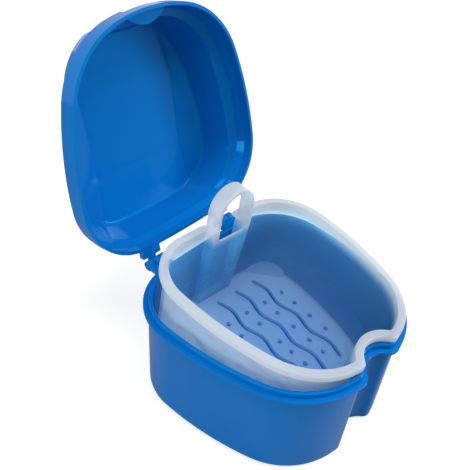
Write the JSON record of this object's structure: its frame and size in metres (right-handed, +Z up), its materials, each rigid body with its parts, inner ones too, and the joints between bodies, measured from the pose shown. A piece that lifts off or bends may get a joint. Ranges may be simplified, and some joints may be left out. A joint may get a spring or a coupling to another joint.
{
  "type": "denture case",
  "caption": "Hinged denture case with a domed lid, a notched front, and a loose translucent strainer basket with a loop handle and wavy drain slots.",
  "frame": {"origin": "on the underside of the tub, at the centre of its plan outline's width", "axes": "+Z up, -Y towards the notched front, +Y towards the hinge, +X along the hinge line; the lid is stored open past upright and the basket tipped up on the tub's front corner"},
  "size_m": [0.0832, 0.1269, 0.1223],
  "materials": {
    "blue_plastic": "glossy moulded polypropylene",
    "frosted_plastic": "translucent natural polypropylene",
    "pin_plastic": "moulded"
  },
  "bodies": {
    "tub": {"tub": "blue_plastic", "hinge_pin_left": "pin_plastic", "hinge_pin_right": "pin_plastic"},
    "lid": {"lid": "blue_plastic"},
    "strainer_basket": {"strainer_basket": "frosted_plastic"}
  },
  "joints": [
    {"name": "lid_hinge", "type": "hinge", "parent": "tub", "child": "lid", "pos_m": [0, 0.0401, 0.0389], "axis": [1, 0, 0], "range_deg": [0, 103.5]},
    {"name": "basket_tip", "type": "hinge", "parent": "tub", "child": "strainer_basket", "pos_m": [0.02479, -0.03654, 0.03049], "axis": [0.7692, 0.6027, -0.2123], "range_deg": [-7.97, 0]}
  ],
  "couplings": [
    {"joint": "basket_tip", "follows": "lid_hinge", "ratio": -0.077004}
  ]
}
